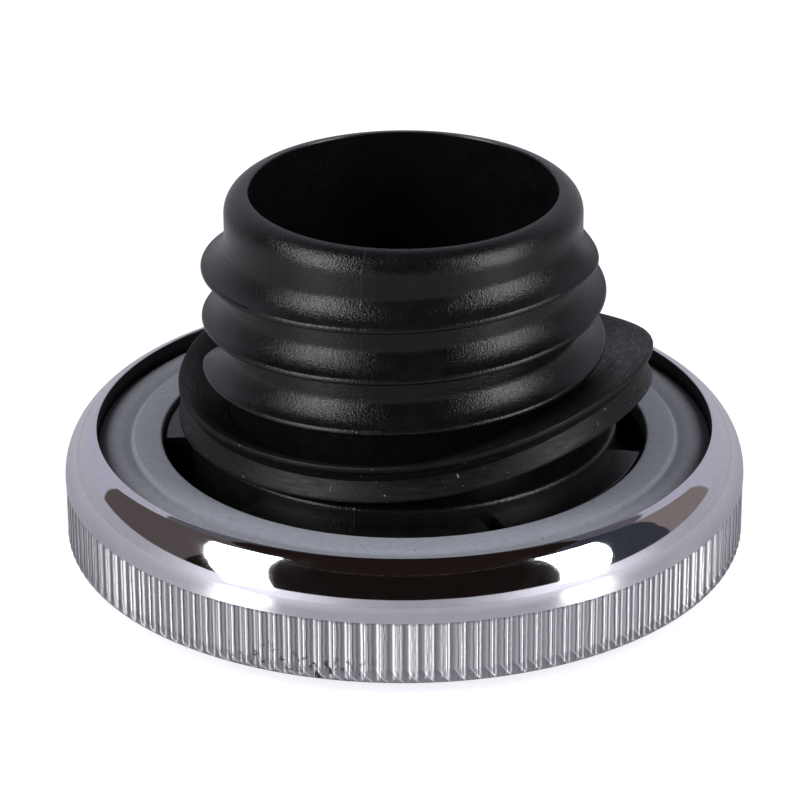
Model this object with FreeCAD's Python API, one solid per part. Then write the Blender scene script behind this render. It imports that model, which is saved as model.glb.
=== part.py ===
"""Screw-in fuel cap with a torque ratchet, lying on its outer face with the threaded plug up.

Millimetres. +Z up through the plug, the origin at the centre of the face the cap rests on.
"""
import math
import os

import FreeCAD
import Part

# Outer shell
shell_diameter = 82.0
shell_wall = 4.0
shell_floor = 2.6
crown_land_radius = 15.0
crown_rise = 1.3
crown_steps = 3
bottom_edge_radius = 1.3
flute_count = 144
flute_width = 1.39
flute_floor_width = 0.66
flute_depth = 0.36
flute_inset = 0.05
band_straight = 0.4
band_height = 5.8
rim_land = 0.5
rim_rise = 1.3
rim_bevel = 0.15
boss_radius = 2.5
boss_height = 4.4
boss_hole_depth = 2.8

# Retainer and its screws
retainer_wall = 4.3
retainer_lip_width = 3.2
retainer_lip_thickness = 1.3
screw_count = 4
screw_inset = 2.2
screw_first_angle = 20.0
screw_radius = 1.1
screw_head_radius = 1.6
screw_head_height = 1.4
screw_slot_width = 0.5
screw_slot_depth = 0.6

# Ratchet
ratchet_thickness = 1.8
tooth_count = 24
tooth_height = 0.9
tooth_width = 5.5
tooth_margin = 2.1
tooth_fill = 0.97
tooth_flank_gap_angle = 0.5
ratchet_bore_margin = 0.5

# Thrust washer and wave spring
washer_thickness = 0.8
wave_spring_space = 1.43
wave_spring_width = 2.45
wave_spring_thickness = 0.35
wave_spring_waves = 3
wave_spring_steps = 16

# Gasket
gasket_thickness = 2.2
gasket_overhang = 0.25
gasket_land = 3.65
gasket_step_width = 0.4
gasket_outer_step = 0.35
gasket_outer_fall = 0.4

# Threaded plug
flange_thickness = 3.0
lug_width = 3.2
lug_height = 5.38
lug_spans = [(-132.0, -70.0), (-66.0, -12.0), (33.0, 106.0), (110.0, 183.0)]
collar_step = 4.35
collar_height = 7.58
collar_bevel = 0.5
neck_height = 29.4
shoulder_width = 2.85
shoulder_drop = 2.7
shoulder_steps = 3
bore_draft = 0.4

# Thread
thread_depth = 2.85
thread_pitch = 6.4
thread_start_angle = 155.0
thread_start_rise = 6.76
thread_end_drop = 5.95
thread_lower_fade = 26.0
thread_upper_fade = 38.0
thread_fade_sink = 3.1
thread_crest_round = 0.42
thread_crest_flat = 0.17
thread_crest_inset = 0.38
thread_under_drop = 1.55
thread_cove_rise = 4.75
thread_embed = 0.45
thread_cove_steps = 2
thread_step_angle = 12.0

# Lip seal: a soft ring that sits askew, its height a sum of waves round the neck
seal_width = 7.18
seal_half_height = 2.25
seal_lip_land = 0.3
seal_groove_depth = 1.2
seal_top_fall = 3.2
seal_under_rise = 0.2
seal_rise = 4.7
seal_shift_right = 1.35
seal_waves = [(1.67, -0.90), (0.65, -1.59), (0.56, -0.44)]
seal_steps = 60

# Vent valve in the plug's floor
vent_tube_radius = 5.9
vent_tube_wall = 0.7
vent_flange_width = 2.1
vent_flange_thickness = 1.2
vent_dome_step = 0.7
vent_dome_bevel = 0.4
vent_height = 5.4
vent_plate_thickness = 1.2
vent_seat_overlap = 1.4
poppet_thickness = 1.05
poppet_hole_radius = 0.6
poppet_hole_circle = 1.9
poppet_hole_count = 3
poppet_seal_thickness = 0.75
umbrella_height = 0.9
umbrella_skirt_thickness = 0.25
umbrella_skirt_rise = 0.35
umbrella_crown_radius = 1.2
umbrella_stem_radius = 0.75
umbrella_bulb_radius = 1.1
umbrella_bulb_tip_radius = 0.66
umbrella_bulb_height = 0.9
vent_cap_thickness = 1.2
vent_cap_hole_radius = 0.8
vent_cap_hole_circle = 3.2
vent_cap_hole_count = 3
coil_radius = 3.3
coil_wire_radius = 0.25
coil_turns = 4.0
coil_steps_per_turn = 12
coil_wire_sides = 6

# Fits
press_clearance = 0.05
slip_clearance = 0.1
ramp_gap = 0.12
tooth_back_gap = 0.2
key_clearance = 0.15
flange_gap = 1.0
washer_gap = 0.4
wave_spring_gap = 0.6
lug_gap = 0.35
seal_bore_clearance = 0.15
poppet_gap = 0.4
umbrella_gap = 0.45
root_overlap = 0.3
cut_margin = 1.0

# Radii, from the shell inwards
shell_radius = shell_diameter / 2.0
cavity_radius = shell_radius - shell_wall
rim_radius = cavity_radius + rim_land
insert_radius = cavity_radius - slip_clearance
screw_circle_radius = insert_radius - screw_inset
pocket_radius = insert_radius - retainer_wall
lip_inner_radius = pocket_radius - retainer_lip_width
washer_outer_radius = pocket_radius - washer_gap
wave_spring_outer_radius = pocket_radius - wave_spring_gap
flange_radius = pocket_radius - flange_gap
tooth_outer_radius = flange_radius - tooth_margin
tooth_inner_radius = tooth_outer_radius - tooth_width
gasket_inner_radius = lip_inner_radius - gasket_overhang
lug_radius = gasket_inner_radius - lug_gap
collar_radius = lug_radius - lug_width
neck_radius = collar_radius - collar_step
mouth_radius = neck_radius - shoulder_width
vent_bore_radius = vent_tube_radius - vent_tube_wall
poppet_radius = vent_bore_radius - poppet_gap
vent_seat_radius = poppet_radius - vent_seat_overlap
poppet_seal_inner_radius = vent_seat_radius - press_clearance
umbrella_radius = poppet_seal_inner_radius - umbrella_gap

# Levels, from the shell's floor upwards
boss_top_z = shell_floor + boss_height
tooth_root_z = shell_floor + ratchet_thickness
flange_bottom_z = tooth_root_z + tooth_height + ramp_gap + tooth_back_gap
flange_top_z = flange_bottom_z + flange_thickness
washer_bottom_z = flange_top_z + press_clearance
washer_top_z = washer_bottom_z + washer_thickness
lip_under_z = washer_top_z + wave_spring_space
retainer_top_z = lip_under_z + retainer_lip_thickness
screw_head_z = retainer_top_z - screw_head_height - slip_clearance
gasket_top_z = retainer_top_z + gasket_thickness
rim_z = gasket_top_z + rim_rise
band_z = rim_z - rim_bevel - band_height
flute_top_z = band_z - band_straight
lug_top_z = flange_top_z + lug_height
collar_top_z = flange_top_z + collar_height
mouth_z = collar_top_z + neck_height
thread_start_z = collar_top_z + thread_start_rise
thread_end_z = mouth_z - thread_end_drop
thread_swing = (thread_end_z - thread_start_z) * 360.0 / thread_pitch
seal_centre_z = collar_top_z + seal_rise
vent_base_z = flange_top_z + press_clearance
vent_top_z = vent_base_z + vent_height
vent_seat_z = vent_top_z - vent_plate_thickness
vent_bottom_z = flange_bottom_z + slip_clearance
poppet_seal_top_z = vent_seat_z - press_clearance
poppet_top_z = poppet_seal_top_z - poppet_seal_thickness - press_clearance
poppet_bottom_z = poppet_top_z - poppet_thickness
vent_cap_top_z = vent_bottom_z + vent_cap_thickness

tooth_pitch = 360.0 / tooth_count
flute_pitch = 360.0 / flute_count


def vec(x, y, z):
    return FreeCAD.Vector(x, y, z)


def polar(radius, angle, z):
    a = math.radians(angle)
    return vec(radius * math.cos(a), radius * math.sin(a), z)


def line(p, q):
    return Part.makeLine(vec(p[0], 0, p[1]), vec(q[0], 0, q[1]))


def arc(p, m, q):
    points = [vec(c[0], 0, c[1]) for c in (p, m, q)]
    return Part.Arc(*points).toShape()


def path(points):
    return [line(points[i], points[i + 1]) for i in range(len(points) - 1)]


def polygon(corners):
    return Part.makePolygon(corners + corners[:1])


def joined(pieces):
    """One solid from pieces that share faces or overlap."""
    return pieces[0].fuse(pieces[1:]).removeSplitter()


def closed_ring(sections):
    """Ring through sections placed round the axis, the first one closing it."""
    pairs = zip(sections, sections[1:] + sections[:1])
    return joined([Part.makeLoft([a, b], True, True) for a, b in pairs])


def turn(edges):
    """Solid of revolution about Z from edges in the XZ plane."""
    face = Part.Face(Part.Wire(edges))
    return face.revolve(vec(0, 0, 0), vec(0, 0, 1), 360)


def turn_polygon(points):
    return turn(path(points + [points[0]]))


def tube(outer, inner, z0, z1):
    return turn_polygon([(inner, z0), (outer, z0), (outer, z1), (inner, z1)])


def cylinder(radius, z0, z1, x=0.0, y=0.0):
    return Part.makeCylinder(radius, z1 - z0, vec(x, y, z0))


def on_circle(count, radius, first=0.0):
    return [polar(radius, first + i * 360.0 / count, 0) for i in range(count)]


def round_posts(places, radius, z0, z1):
    return [cylinder(radius, z0, z1, p.x, p.y) for p in places]


def screw_places():
    return on_circle(screw_count, screw_circle_radius, screw_first_angle)


def arc_steps(centre, radius, start, end, steps):
    """Corner points along an arc in the (r, z) plane."""
    points = []
    for i in range(steps + 1):
        a = math.radians(start + (end - start) * i / steps)
        points.append((centre[0] + radius * math.cos(a), centre[1] + radius * math.sin(a)))
    return points


def rib_bevel(low, high):
    """Many-sided cone with one flat for each rib, through two (r, z) points."""
    spread = math.cos(math.radians(flute_pitch / 2.0))
    rings = []
    for r, z in (low, high):
        rings.append(polygon([polar(r / spread, i * flute_pitch, z) for i in range(flute_count)]))
    return Part.makeLoft(rings, True, True)


def fluted_drum(low_z, low_radius, full_z):
    """Grip drum with vertical flutes, its ribs bevelled between the two levels."""
    land_radius = shell_radius - flute_inset
    floor_radius = land_radius - flute_depth
    half_mouth = math.degrees(math.asin(flute_width / 2.0 / land_radius))
    half_floor = math.degrees(math.asin(flute_floor_width / 2.0 / floor_radius))
    outline = []
    for i in range(flute_count):
        middle = i * flute_pitch
        outline.append(polar(land_radius, middle - half_mouth, low_z))
        outline.append(polar(floor_radius, middle - half_floor, low_z))
        outline.append(polar(floor_radius, middle + half_floor, low_z))
        outline.append(polar(land_radius, middle + half_mouth, low_z))
    drum = Part.Face(polygon(outline)).extrude(vec(0, 0, flute_top_z - low_z))
    slope = (land_radius - low_radius) / (full_z - low_z)
    high_radius = low_radius + slope * (flute_top_z - low_z)
    return drum.common(rib_bevel((low_radius, low_z), (high_radius, flute_top_z)))


def chrome_shell():
    edge_start = shell_radius - bottom_edge_radius
    crown_run = edge_start - crown_land_radius
    crown_radius = (crown_run ** 2 + crown_rise ** 2) / (2 * crown_rise)
    crown_angle = math.degrees(math.asin(crown_run / crown_radius))
    crown_centre = (crown_land_radius, crown_radius)
    crown = arc_steps(crown_centre, crown_radius, -90.0, crown_angle - 90.0, crown_steps)
    edge_centre = (edge_start, crown_rise + bottom_edge_radius)
    edge = arc_steps(edge_centre, bottom_edge_radius, -90.0, 0.0, 2)
    low_z = edge[1][1]
    face = turn_polygon([(0, 0)] + crown + [edge[1], (0, low_z)])
    drum = fluted_drum(low_z, edge[1][0] + flute_inset, edge_centre[1])

    band_inset = shell_radius - rim_radius
    band_radius = (band_height ** 2 + band_inset ** 2) / (2 * band_inset)
    half_angle = math.asin(band_height / band_radius) / 2.0
    band_mid = (
        shell_radius - band_radius + band_radius * math.cos(half_angle),
        band_z + band_radius * math.sin(half_angle),
    )
    rim = [
        (rim_radius, rim_z - rim_bevel),
        (rim_radius - rim_bevel, rim_z),
        (cavity_radius + rim_bevel, rim_z),
        (cavity_radius, rim_z - rim_bevel),
    ]
    band_start = (shell_radius, band_z)
    edges = path([(cavity_radius, flute_top_z), (shell_radius, flute_top_z), band_start])
    edges.append(arc(band_start, band_mid, rim[0]))
    edges += path(rim + [(cavity_radius, flute_top_z)])
    inside = cylinder(cavity_radius, shell_floor, flute_top_z)
    body = joined([face, drum]).cut(inside).fuse(turn(edges))

    bosses = round_posts(screw_places(), boss_radius, shell_floor - root_overlap, boss_top_z)
    body = body.fuse(bosses)
    hole_radius = screw_radius + press_clearance
    holes = round_posts(screw_places(), hole_radius, boss_top_z - boss_hole_depth, boss_top_z + cut_margin)
    return body.cut(Part.makeCompound(holes))


def ramp_z(share):
    """Height of the ratchet ramp at a share of one tooth pitch, falling anticlockwise."""
    return tooth_root_z + tooth_height * (1.0 - share)


def ramp_tooth(start_angle, from_z, lift, first_share, last_share):
    """Sector wedge between a flat level and the ramp surface raised by lift."""
    sections = []
    for share in (first_share, last_share):
        angle = start_angle + share * tooth_pitch
        top = ramp_z(share) + lift
        corners = [
            polar(tooth_inner_radius, angle, from_z),
            polar(tooth_outer_radius, angle, from_z),
            polar(tooth_outer_radius, angle, top),
            polar(tooth_inner_radius, angle, top),
        ]
        sections.append(polygon(corners))
    return Part.makeLoft(sections, True, True)


def ratchet_ring():
    """Fixed ratchet ring, notched round the shell's bosses."""
    ring = tube(insert_radius, tooth_inner_radius - ratchet_bore_margin, shell_floor, tooth_root_z)
    notch_radius = boss_radius + key_clearance
    notches = round_posts(screw_places(), notch_radius, shell_floor - cut_margin, tooth_root_z + cut_margin)
    ring = ring.cut(Part.makeCompound(notches))
    foot_z = tooth_root_z - root_overlap
    teeth = [ramp_tooth(i * tooth_pitch, foot_z, 0.0, 0.0, tooth_fill) for i in range(tooth_count)]
    return ring.fuse(teeth)


def retainer_ring():
    ring = turn_polygon([
        (pocket_radius, tooth_root_z),
        (insert_radius, tooth_root_z),
        (insert_radius, retainer_top_z),
        (lip_inner_radius, retainer_top_z),
        (lip_inner_radius, lip_under_z),
        (pocket_radius, lip_under_z),
    ])
    places = screw_places()
    above_z = retainer_top_z + cut_margin
    cuts = round_posts(places, boss_radius + key_clearance, tooth_root_z - cut_margin, boss_top_z)
    cuts += round_posts(places, screw_radius + slip_clearance, boss_top_z - cut_margin, above_z)
    cuts += round_posts(places, screw_head_radius + slip_clearance, screw_head_z, above_z)
    return ring.cut(Part.makeCompound(cuts))


def retainer_screws():
    top_z = screw_head_z + screw_head_height
    tip_z = boss_top_z - boss_hole_depth + slip_clearance
    half_width = screw_slot_width / 2.0
    half_length = screw_head_radius + cut_margin
    slot_z = top_z - screw_slot_depth
    screws = []
    for place in screw_places():
        head = cylinder(screw_head_radius, screw_head_z, top_z, place.x, place.y)
        shank = cylinder(screw_radius, tip_z, screw_head_z + root_overlap, place.x, place.y)
        corner = vec(place.x - half_length, place.y - half_width, slot_z)
        slot = Part.makeBox(2 * half_length, screw_slot_width, screw_slot_depth + cut_margin, corner)
        screws.append(head.fuse(shank).cut(slot))
    return Part.makeCompound(screws)


def cover_gasket():
    low_z = gasket_top_z - gasket_outer_step
    step_radius = gasket_inner_radius + gasket_land
    return turn_polygon([
        (gasket_inner_radius, retainer_top_z),
        (insert_radius, retainer_top_z),
        (insert_radius, low_z - gasket_outer_fall),
        (step_radius + gasket_step_width, low_z),
        (step_radius, gasket_top_z),
        (gasket_inner_radius, gasket_top_z),
    ])


def thrust_washer():
    return tube(washer_outer_radius, lug_radius + washer_gap, washer_bottom_z, washer_top_z)


def wave_spring():
    """Wavy ring that fills the space between washer and retainer lip."""
    outer = wave_spring_outer_radius
    inner = outer - wave_spring_width
    middle = (washer_top_z + lip_under_z) / 2.0
    half = wave_spring_thickness / 2.0
    height = wave_spring_space / 2.0 - press_clearance - half
    count = wave_spring_waves * wave_spring_steps
    sections = []
    for i in range(count):
        angle = i * 360.0 / count
        z = middle + height * math.cos(math.radians(angle * wave_spring_waves))
        corners = [
            polar(inner, angle, z - half),
            polar(outer, angle, z - half),
            polar(outer, angle, z + half),
            polar(inner, angle, z + half),
        ]
        sections.append(polygon(corners))
    return closed_ring(sections)


def thread_foot(swing):
    """Radius of the thread's foot circle, sunk into the neck at both ends."""
    lower = (thread_lower_fade - swing) / thread_lower_fade
    upper = (swing - thread_swing + thread_upper_fade) / thread_upper_fade
    share = max(0.0, lower, upper)
    return neck_radius - thread_fade_sink * share ** 2 * (3.0 - 2.0 * share)


def thread_ridge():
    """One right-handed ridge with a steep underside, a round crest and a coved upper flank."""
    run = thread_depth - thread_crest_inset + thread_embed
    drop = thread_cove_rise - thread_crest_round
    cove_radius = (run ** 2 + drop ** 2) / (2 * run)
    cove_angle = math.degrees(math.asin(drop / cove_radius))
    cove_centre = (cove_radius - thread_embed, thread_cove_rise)
    profile = [
        (-thread_embed, -thread_under_drop),
        (thread_depth - thread_crest_inset, -thread_crest_round),
        (thread_depth, -thread_crest_flat),
        (thread_depth, thread_crest_flat),
    ]
    profile += arc_steps(cove_centre, cove_radius, 180.0 + cove_angle, 180.0, thread_cove_steps)
    count = int(round(thread_swing / thread_step_angle))
    sections = []
    for i in range(count + 1):
        swing = thread_swing * i / count
        foot = thread_foot(swing)
        z = thread_start_z + thread_pitch * swing / 360.0
        sections.append(polygon([polar(foot + dr, thread_start_angle + swing, z + dz) for dr, dz in profile]))
    return Part.makeLoft(sections, True, True)


def lugs():
    """Raised sectors on the base flange."""
    ring = tube(lug_radius, collar_radius - root_overlap, flange_top_z - root_overlap, lug_top_z)
    reach = 2.0 * lug_radius
    pieces = []
    for start, end in lug_spans:
        corners = [vec(0, 0, 0)]
        corners += [polar(reach, a, 0) for a in (start, (start + end) / 2.0, end)]
        sector = Part.Face(polygon(corners)).extrude(vec(0, 0, lug_top_z))
        pieces.append(ring.common(sector))
    return pieces


def threaded_plug():
    shoulder_z = mouth_z - shoulder_drop
    shoulder = []
    for i in range(shoulder_steps + 1):
        a = math.radians(90.0 * i / shoulder_steps)
        radius = mouth_radius + shoulder_width * math.cos(a)
        shoulder.append((radius, shoulder_z + shoulder_drop * math.sin(a)))
    body = turn_polygon([
        (0, flange_bottom_z),
        (flange_radius, flange_bottom_z),
        (flange_radius, flange_top_z),
        (collar_radius, flange_top_z),
        (collar_radius, collar_top_z - collar_bevel),
        (collar_radius - collar_bevel, collar_top_z),
        (neck_radius, collar_top_z),
    ] + shoulder + [(0, mouth_z)])
    body = body.fuse(thread_ridge())
    body = body.fuse(lugs())
    bore = turn_polygon([
        (0, flange_top_z),
        (mouth_radius - bore_draft, flange_top_z),
        (mouth_radius, mouth_z),
        (mouth_radius, mouth_z + cut_margin),
        (0, mouth_z + cut_margin),
    ])
    body = body.cut(bore)
    vent_hole_radius = vent_tube_radius + press_clearance
    body = body.cut(cylinder(vent_hole_radius, flange_bottom_z - cut_margin, flange_top_z + cut_margin))
    first_share = tooth_flank_gap_angle / tooth_pitch
    last_share = tooth_fill - first_share
    foot_z = flange_bottom_z + root_overlap
    teeth = []
    for i in range(tooth_count):
        teeth.append(ramp_tooth(i * tooth_pitch, foot_z, ramp_gap, first_share, last_share))
    return body.fuse(teeth)


def seal_height(angle):
    """Height of the seal's mid line, a sum of waves round the neck."""
    a = math.radians(angle)
    z = seal_centre_z
    for i, (along, across) in enumerate(seal_waves):
        z += along * math.cos((i + 1) * a) + across * math.sin((i + 1) * a)
    return z


def lip_seal():
    """Double-lip ring round the neck, pushed to the right and lifted at the front right."""
    inner = neck_radius + seal_bore_clearance
    half = seal_half_height
    sections = []
    for i in range(seal_steps):
        angle = i * 360.0 / seal_steps
        lip = neck_radius + seal_width + seal_shift_right * math.cos(math.radians(angle))
        profile = [
            (inner, half - seal_top_fall),
            (lip, half),
            (lip, half - seal_lip_land),
            (lip - seal_groove_depth, 0.0),
            (lip, seal_lip_land - half),
            (lip, -half),
            (inner, seal_under_rise - half),
        ]
        z = seal_height(angle)
        sections.append(polygon([polar(r, angle, z + dz) for r, dz in profile]))
    return closed_ring(sections)


def vent_body():
    flange_z = vent_base_z + vent_flange_thickness
    dome_radius = vent_tube_radius + vent_dome_step
    return turn_polygon([
        (vent_bore_radius, vent_bottom_z),
        (vent_tube_radius, vent_bottom_z),
        (vent_tube_radius, vent_base_z),
        (vent_tube_radius + vent_flange_width, vent_base_z),
        (vent_tube_radius + vent_flange_width, flange_z),
        (dome_radius, flange_z),
        (dome_radius, vent_top_z - vent_dome_bevel),
        (dome_radius - vent_dome_bevel, vent_top_z),
        (vent_seat_radius, vent_top_z),
        (vent_seat_radius, vent_seat_z),
        (vent_bore_radius, vent_seat_z),
    ])


def vent_poppet():
    disc = cylinder(poppet_radius, poppet_bottom_z, poppet_top_z)
    places = on_circle(poppet_hole_count, poppet_hole_circle)
    low_z = poppet_bottom_z - cut_margin
    high_z = poppet_top_z + cut_margin
    cuts = round_posts(places, poppet_hole_radius, low_z, high_z)
    cuts.append(cylinder(umbrella_stem_radius + press_clearance, low_z, high_z))
    return disc.cut(Part.makeCompound(cuts))


def poppet_seal():
    bottom = poppet_top_z + press_clearance
    return tube(poppet_radius, poppet_seal_inner_radius, bottom, poppet_seal_top_z)


def vacuum_umbrella():
    """Rubber umbrella with its stem through the poppet and a bulb behind it."""
    skirt_z = poppet_top_z + press_clearance
    bulb_top = poppet_bottom_z - press_clearance
    bulb_tip = bulb_top - umbrella_bulb_height
    return turn_polygon([
        (0, bulb_tip),
        (umbrella_bulb_tip_radius, bulb_tip),
        (umbrella_bulb_radius, bulb_top),
        (umbrella_stem_radius, bulb_top),
        (umbrella_stem_radius, skirt_z + umbrella_skirt_rise),
        (umbrella_radius, skirt_z),
        (umbrella_radius, skirt_z + umbrella_skirt_thickness),
        (umbrella_crown_radius, skirt_z + umbrella_height),
        (0, skirt_z + umbrella_height),
    ])


def vent_cap():
    disc = cylinder(vent_bore_radius - press_clearance, vent_bottom_z, vent_cap_top_z)
    places = on_circle(vent_cap_hole_count, vent_cap_hole_circle)
    low_z = vent_bottom_z - cut_margin
    high_z = vent_cap_top_z + cut_margin
    holes = round_posts(places, vent_cap_hole_radius, low_z, high_z)
    return disc.cut(Part.makeCompound(holes))


def vent_spring():
    """Coil of round wire, drawn as a many-sided bar."""
    low = vent_cap_top_z + press_clearance + coil_wire_radius
    high = poppet_bottom_z - press_clearance - coil_wire_radius
    count = int(coil_turns * coil_steps_per_turn)
    sections = []
    for i in range(count + 1):
        angle = i * 360.0 / coil_steps_per_turn
        z = low + (high - low) * i / count
        corners = []
        for k in range(coil_wire_sides):
            a = math.radians((k + 0.5) * 360.0 / coil_wire_sides)
            radius = coil_radius + coil_wire_radius * math.cos(a)
            corners.append(polar(radius, angle, z + coil_wire_radius * math.sin(a)))
        sections.append(polygon(corners))
    return Part.makeLoft(sections, True, True)


NODES = {
    "chrome_shell": chrome_shell,
    "cover_gasket": cover_gasket,
    "threaded_plug": threaded_plug,
    "lip_seal": lip_seal,
    "ratchet_ring": ratchet_ring,
    "retainer_ring": retainer_ring,
    "retainer_screws": retainer_screws,
    "thrust_washer": thrust_washer,
    "wave_spring": wave_spring,
    "vent_body": vent_body,
    "vent_poppet": vent_poppet,
    "poppet_seal": poppet_seal,
    "vacuum_umbrella": vacuum_umbrella,
    "vent_spring": vent_spring,
    "vent_cap": vent_cap,
}

os.makedirs("parts", exist_ok=True)
for node, make in NODES.items():
    make().exportStep("parts/" + node + ".step")
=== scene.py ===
"""Looks of the screw-in fuel cap: fine meshes over the solids, procedural materials and a studio set."""
import math

import bmesh
import bpy
import numpy as np
from mathutils import Matrix, Vector


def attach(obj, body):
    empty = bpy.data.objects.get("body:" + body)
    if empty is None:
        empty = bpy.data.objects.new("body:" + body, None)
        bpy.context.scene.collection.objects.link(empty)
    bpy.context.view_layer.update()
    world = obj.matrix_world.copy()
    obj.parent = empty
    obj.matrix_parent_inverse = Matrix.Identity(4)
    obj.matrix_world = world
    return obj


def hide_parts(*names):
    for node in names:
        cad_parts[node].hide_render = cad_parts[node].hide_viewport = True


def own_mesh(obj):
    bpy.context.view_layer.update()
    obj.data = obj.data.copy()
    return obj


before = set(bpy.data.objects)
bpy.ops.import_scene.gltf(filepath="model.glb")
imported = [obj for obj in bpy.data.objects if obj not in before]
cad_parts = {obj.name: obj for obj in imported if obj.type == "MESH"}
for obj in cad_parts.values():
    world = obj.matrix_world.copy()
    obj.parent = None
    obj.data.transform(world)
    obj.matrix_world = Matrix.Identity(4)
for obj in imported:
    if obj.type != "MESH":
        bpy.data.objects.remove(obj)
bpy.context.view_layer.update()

MM = 0.001

# Shell, in millimetres as in the solids
SHELL_RADIUS = 41.0
CROWN_LAND_RADIUS = 15.0
CROWN_RISE = 1.3
EDGE_RADIUS = 1.3
FLUTE_COUNT = 144
FLUTE_RADIUS = 0.85
FLUTE_DEPTH = 0.36
FLUTE_INSET = 0.05
FLUTE_TOP_Z = 9.35
FLUTE_LIP = 0.05
GRIP_FIRST_ROW = 0.6
RIB_ROUND = 0.06
RIB_SHOULDER = 0.2
BAND_STRAIGHT = 0.4
BAND_TRIM = 3.0
RIM_RADIUS = 37.5
RIM_Z = 15.7
RIM_TRIM = 5.0
CAVITY_RADIUS = 37.0
SHELL_FLOOR_Z = 2.6

# Gasket: its land, then the ring lines as (radius, depth under the top)
GASKET_INNER = 29.15
GASKET_OUTER = 36.9
GASKET_TOP_Z = 14.4
GASKET_BOTTOM_Z = 12.2
GASKET_ROUND = 0.35
GASKET_LAND_RADIUS = 32.4
GASKET_LAND_FALL = 0.02
GASKET_STEP_ROUND = 0.3
GASKET_RINGS = (
    (32.95, 0.42), (33.3, 0.42), (33.6, 0.3), (34.7, 0.34), (35.0, 0.46), (36.3, 0.6), (GASKET_OUTER, 0.9),
)
SKIN_END_Z = GASKET_TOP_Z - 1.0

# Plug: mouth, bore, collar, flange and lugs
MOUTH_RADIUS = 18.4
MOUTH_Z = 45.6
MOUTH_LIP_INSET = 0.12
MOUTH_LIP_DROP = 0.15
SHOULDER_DROP = 2.7
NECK_RADIUS = 21.25
BORE_BOTTOM_RADIUS = 18.0
BORE_FIRST_DROP = 2.0
BORE_COVE_HEIGHT = 0.8
BORE_COVE_WIDTH = 0.9
BORE_COVE_KNEE = (0.3, 0.2)
BORE_MARGIN = 0.01
MOULD_LINE_ANGLE = -103.0
MOULD_LINE_HALF = 0.006
COLLAR_RADIUS = 25.6
COLLAR_TOP_Z = 16.2
COLLAR_ROUND = 0.6
FLANGE_RADIUS = 31.6
FLANGE_BOTTOM_Z = 5.62
FLANGE_TOP_Z = 8.62
LUG_RADIUS = 28.8
LUG_TOP_Z = 14.0
LUG_EDGE = 0.3
LUG_SINK_IN = 0.5
LUG_SINK_DOWN = 0.2
LUG_STEP = 2.0
LUG_SPANS = ((-132.0, -70.0), (-66.0, -12.0), (33.0, 106.0), (110.0, 183.0))
VENT_HOLE_RADIUS = 5.95

# Thread: angles in degrees along the helix, heights from the crest line
THREAD_DEPTH = 2.85
THREAD_PITCH = 6.4
THREAD_DATUM_Z = 33.0
THREAD_FIRST = -565.0
THREAD_LAST = 374.0
THREAD_LOWER_FADE = 26.0
THREAD_UPPER_FADE = 38.0
THREAD_SINK = 3.1
THREAD_ROUND = 0.42
THREAD_ROUND_LOW_RISE = 0.4
THREAD_ROUND_HIGH_RISE = 0.35
THREAD_UNDER = 1.55
THREAD_COVE = 4.75
THREAD_EMBED = 0.45
UNDER_LEVELS = (-1.5, -1.2, -0.9, -0.65, -0.5)
CREST_LEVELS = (0.06, 0.18, 0.3, 0.38, 0.42)
COVE_LEVELS = (0.55, 0.75, 1.0, 1.3, 1.65, 2.0, 2.4, 2.8, 3.2, 3.6, 4.0, 4.4, 4.72)
THREAD_LEVELS = UNDER_LEVELS + tuple(-z for z in reversed(CREST_LEVELS)) + CREST_LEVELS + COVE_LEVELS

# Lip seal, lying askew: each wave as (along X, along Y), one to three round the ring
SEAL_WIDTH = 7.18
SEAL_HALF = 2.25
SEAL_GROOVE_DEPTH = 1.2
SEAL_TOP_FALL = 3.2
SEAL_UNDER_RISE = 0.2
SEAL_CENTRE_Z = 20.9
SEAL_SHIFT_RIGHT = 1.35
SEAL_WAVES = ((1.67, -0.90), (0.65, -1.59), (0.56, -0.44))
SEAL_BORE_CLEARANCE = 0.15

# Steps round the turned meshes, and the angles over which an edge shows sharp
SHELL_COLUMNS = 288
GASKET_COLUMNS = 300
PLUG_COLUMNS = 360
SEAL_COLUMNS = 360
SHARP_ANGLE = 35.0
PLUG_SHARP_ANGLE = 38.0
SEAL_SHARP_ANGLE = 50.0
WELD = 1e-7


def polar(radius, angle, z):
    """Vertex in metres from a radius, an angle in radians and a height in millimetres."""
    return radius * math.cos(angle) * MM, radius * math.sin(angle) * MM, z * MM


def arc_points(centre, radius, start, end, count):
    """Points on an arc in the (r, z) plane, angles in degrees."""
    angles = np.radians(np.linspace(start, end, count))
    return [(centre[0] + radius * math.cos(a), centre[1] + radius * math.sin(a)) for a in angles]


def grid_faces(rows, columns, closed=True, ring=False):
    """Quads of a grid of vertices; closed joins its last column to the first, ring its last row."""
    faces = []
    for i in range(rows if ring else rows - 1):
        here = i * columns
        there = (i + 1) % rows * columns
        for j in range(columns if closed else columns - 1):
            k = (j + 1) % columns
            faces.append((here + j, here + k, there + k, there + j))
    return faces


def lathe(profile, columns):
    """Vertices and quads of a profile of (r, z) points turned about Z."""
    angles = np.arange(columns) * 2 * math.pi / columns
    verts = [polar(r, angle, z) for r, z in profile for angle in angles]
    return verts, grid_faces(len(profile), columns)


def join_parts(parts):
    """Several (vertices, faces) pairs as one."""
    verts = []
    faces = []
    for part_verts, part_faces in parts:
        base = len(verts)
        verts += part_verts
        faces += [tuple(base + i for i in f) for f in part_faces]
    return verts, faces


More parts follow.
